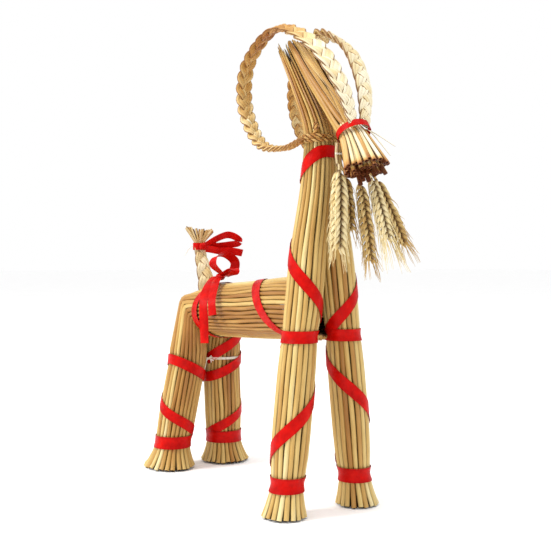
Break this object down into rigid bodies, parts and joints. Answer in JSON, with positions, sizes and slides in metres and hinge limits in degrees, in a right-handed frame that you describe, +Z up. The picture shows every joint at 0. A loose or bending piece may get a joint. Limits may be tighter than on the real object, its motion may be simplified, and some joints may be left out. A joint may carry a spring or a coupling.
{
  "type": "straw yule goat",
  "caption": "Standing yule goat of tied straw bundles with plaited looped horns, a plaited tail, a wheat-ear beard and red ribbons.",
  "frame": {"origin": "on the floor plane, under the centre of the whole goat's bounding box", "axes": "+X the way the goat faces, +Y its left side, +Z up"},
  "size_m": [0.3049, 0.1118, 0.3993],
  "materials": {
    "straw": "satin",
    "plaited_straw": "satin",
    "wheat_ear": "matte",
    "red_ribbon": "satin",
    "thread": "matte"
  },
  "bodies": {
    "goat": {"body_ribbon": "red_ribbon", "bow_knot": "red_ribbon", "bow_loop_left": "red_ribbon", "bow_loop_right": "red_ribbon", "chest_ribbon_left": "red_ribbon", "chest_ribbon_right": "red_ribbon", "fore_ankle_ribbon_left": "red_ribbon", "fore_ankle_ribbon_right": "red_ribbon", "fore_ankle_twine_left": "thread", "fore_ankle_twine_right": "thread", "fore_bundle_left": "straw", "fore_bundle_right": "straw", "foreleg_ribbon_left": "red_ribbon", "foreleg_ribbon_right": "red_ribbon", "head_bundle": "straw", "hind_ankle_ribbon_left": "red_ribbon", "hind_ankle_ribbon_right": "red_ribbon", "hind_ankle_twine_left": "thread", "hind_ankle_twine_right": "thread", "hind_top_ribbon_left": "red_ribbon", "hind_top_ribbon_right": "red_ribbon", "hind_twine": "thread", "hindleg_ribbon_left": "red_ribbon", "hindleg_ribbon_right": "red_ribbon", "horn_lashing": "plaited_straw", "horn_plait_left": "plaited_straw", "horn_plait_right": "plaited_straw", "knee_ribbon_left": "red_ribbon", "knee_ribbon_right": "red_ribbon", "knee_twine_left": "thread", "knee_twine_right": "thread", "muzzle_ribbon": "red_ribbon", "neck_ribbon": "red_ribbon", "neck_twine": "thread", "rear_bundle_left": "straw", "rear_bundle_right": "straw", "rump_ribbon": "red_ribbon", "rump_twine": "thread", "tail_bow_end": "red_ribbon", "tail_bow_knot": "red_ribbon", "tail_bow_loop": "red_ribbon", "tail_plait": "plaited_straw", "tail_tuft": "plaited_straw", "tail_twine": "thread", "thigh_ribbon": "red_ribbon"},
    "beard": {"wheat_ear_1": "wheat_ear", "wheat_ear_2": "wheat_ear", "wheat_ear_3": "wheat_ear", "wheat_ear_4": "wheat_ear", "wheat_ear_5": "wheat_ear", "beard_tie": "thread"},
    "bow_tails": {"bow_tail_long": "red_ribbon", "bow_tail_short": "red_ribbon"}
  },
  "joints": [
    {"name": "beard_sway", "type": "hinge", "parent": "goat", "child": "beard", "pos_m": [0.1075, 0, 0.291], "axis": [0, 1, 0], "range_deg": [-3, 10], "stiffness_Nm_per_rad": 0.15},
    {"name": "bow_tail_swing", "type": "hinge", "parent": "goat", "child": "bow_tails", "pos_m": [-0.072, -0.0125, 0.1886], "axis": [-1, 0, 0], "range_deg": [0, 50]}
  ]
}
